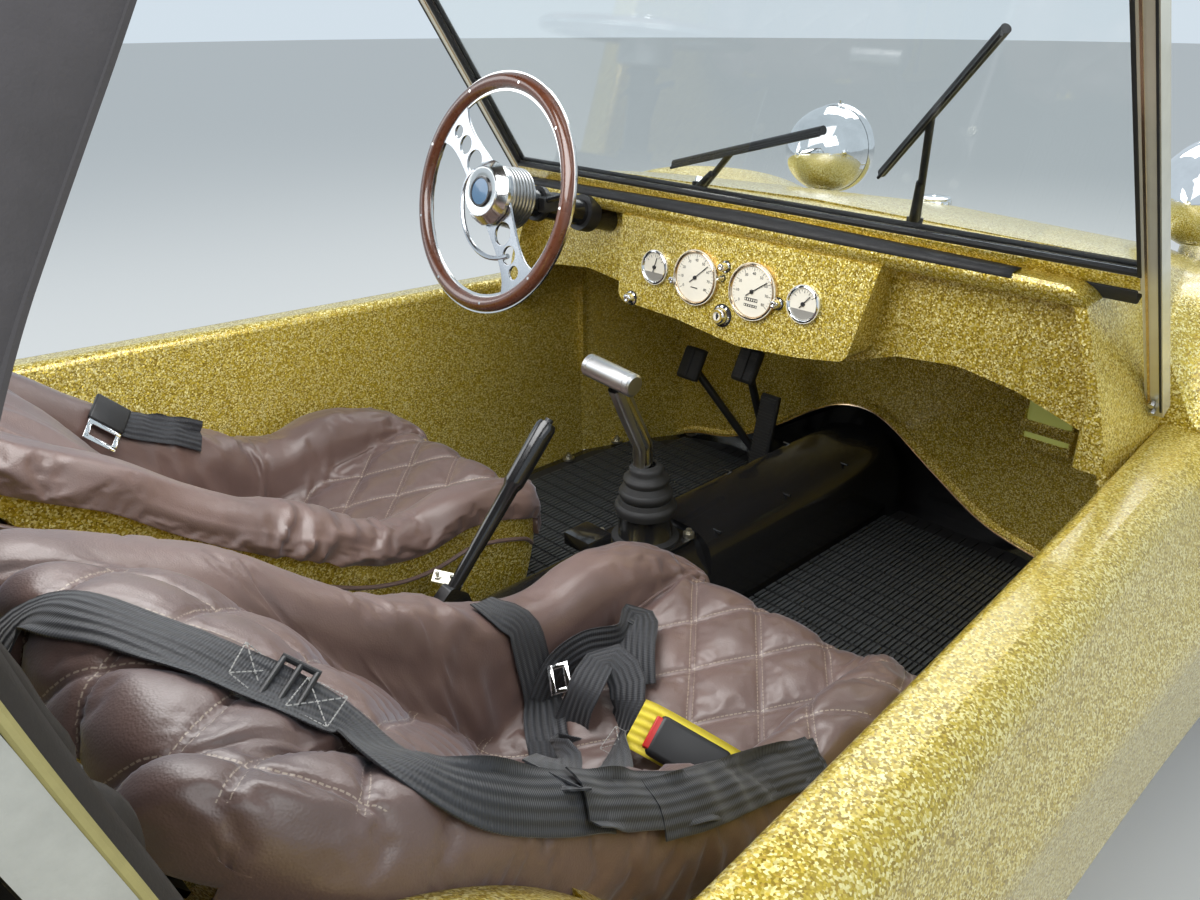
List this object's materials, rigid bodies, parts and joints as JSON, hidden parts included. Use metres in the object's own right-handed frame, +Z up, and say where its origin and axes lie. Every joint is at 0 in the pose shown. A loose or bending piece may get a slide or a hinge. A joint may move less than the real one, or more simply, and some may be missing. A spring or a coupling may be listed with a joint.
{
  "type": "open two-seat dune buggy",
  "caption": "Open two-seat dune buggy with a flaked one-piece body, bucket seats, raked windscreen, folded-edge soft top, rear flat engine and steered front wheels.",
  "frame": {"origin": "on the ground under the middle of the car's length and width", "axes": "+X to the car's front, +Y to its left, +Z up"},
  "size_m": [3.2993, 1.6856, 1.3278],
  "materials": {
    "tyre": "matt",
    "wheel_alloy": "polished",
    "chassis_black": "gloss",
    "mat_rubber": "matt",
    "body_gold": "metal flake",
    "gauge_face": "gloss",
    "polished_alloy": "polished",
    "screen_glass": "clear",
    "wiper_black": "satin",
    "chrome": "polished",
    "wheel_wood": "varnished",
    "bottle_plastic": "translucent",
    "seat_leather": "grained",
    "top_fabric": "woven",
    "engine_alloy": "cast",
    "shroud_black": "satin",
    "exhaust_steel": "satin",
    "lamp_red": "gloss"
  },
  "bodies": {
    "body": {"front_axle_beam": "chassis_black", "floorpan": "chassis_black", "floor_mats": "mat_rubber", "tub_sides": "body_gold", "front_wings": "body_gold", "bonnet": "body_gold", "front_tub": "body_gold", "dashboard": "body_gold", "gauges": "gauge_face", "windscreen_frame": "polished_alloy", "windscreen_glass": "screen_glass", "wipers": "wiper_black", "headlamps": "chrome", "filler_cap": "chrome", "steering_column": "chassis_black", "gear_lever": "polished_alloy", "gear_boot": "mat_rubber", "handbrake": "chassis_black", "pedals": "chassis_black", "washer_bottle": "bottle_plastic", "seat_shell_left": "body_gold", "seat_shell_right": "body_gold", "seat_pad_left": "seat_leather", "seat_pad_right": "seat_leather", "rear_wings": "body_gold", "rear_body": "body_gold", "belt_reels": "chassis_black", "soft_top": "top_fabric", "soft_top_frame": "chassis_black", "transaxle": "chassis_black", "engine": "engine_alloy", "fan_shroud": "shroud_black", "exhaust": "exhaust_steel", "front_bumper": "chrome", "rear_bumper": "chrome", "tail_lamps": "lamp_red"},
    "knuckle_left": {"knuckle_left": "chassis_black"},
    "knuckle_right": {"knuckle_right": "chassis_black"},
    "drop_arm": {"drop_arm": "chassis_black"},
    "tie_rods": {"tie_rods": "chassis_black"},
    "steering_wheel": {"steering_wheel_rim": "wheel_wood", "steering_wheel_spokes": "polished_alloy"},
    "wheel_front_left": {"rim_front_left": "wheel_alloy", "tyre_front_left": "tyre"},
    "wheel_front_right": {"rim_front_right": "wheel_alloy", "tyre_front_right": "tyre"},
    "wheel_rear_left": {"rim_rear_left": "wheel_alloy", "tyre_rear_left": "tyre"},
    "wheel_rear_right": {"rim_rear_right": "wheel_alloy", "tyre_rear_right": "tyre"}
  },
  "joints": [
    {"name": "steer_left", "type": "hinge", "parent": "body", "child": "knuckle_left", "pos_m": [1.09, 0.56, 0.305], "axis": [0, 0, 1], "range_deg": [-28, 28]},
    {"name": "steer_right", "type": "hinge", "parent": "body", "child": "knuckle_right", "pos_m": [1.09, -0.56, 0.305], "axis": [0, 0, 1], "range_deg": [-28, 28]},
    {"name": "drop_arm_turn", "type": "hinge", "parent": "body", "child": "drop_arm", "pos_m": [1.09, 0.06, 0.39], "axis": [0, 0, 1], "range_deg": [-28, 28]},
    {"name": "tie_rods_turn", "type": "hinge", "parent": "drop_arm", "child": "tie_rods", "pos_m": [0.98, 0.06, 0.348], "axis": [0, 0, 1], "range_deg": [-28, 28]},
    {"name": "steering_wheel_turn", "type": "hinge", "parent": "body", "child": "steering_wheel", "pos_m": [0.01, 0.327, 0.871], "axis": [-0.9588, 0, 0.284], "range_deg": [-392, 392]},
    {"name": "spin_front_left", "type": "hinge", "parent": "knuckle_left", "child": "wheel_front_left", "pos_m": [1.09, 0.665, 0.305], "axis": [0, 1, 0], "continuous": true},
    {"name": "spin_front_right", "type": "hinge", "parent": "knuckle_right", "child": "wheel_front_right", "pos_m": [1.09, -0.665, 0.305], "axis": [0, 1, 0], "continuous": true},
    {"name": "spin_rear_left", "type": "hinge", "parent": "body", "child": "wheel_rear_left", "pos_m": [-0.942, 0.71, 0.335], "axis": [0, 1, 0], "continuous": true},
    {"name": "spin_rear_right", "type": "hinge", "parent": "body", "child": "wheel_rear_right", "pos_m": [-0.942, -0.71, 0.335], "axis": [0, 1, 0], "continuous": true}
  ],
  "couplings": [
    {"joint": "steer_right", "follows": "steer_left", "ratio": 1},
    {"joint": "drop_arm_turn", "follows": "steer_left", "ratio": 1},
    {"joint": "tie_rods_turn", "follows": "steer_left", "ratio": -1},
    {"joint": "steering_wheel_turn", "follows": "steer_left", "ratio": 14}
  ]
}
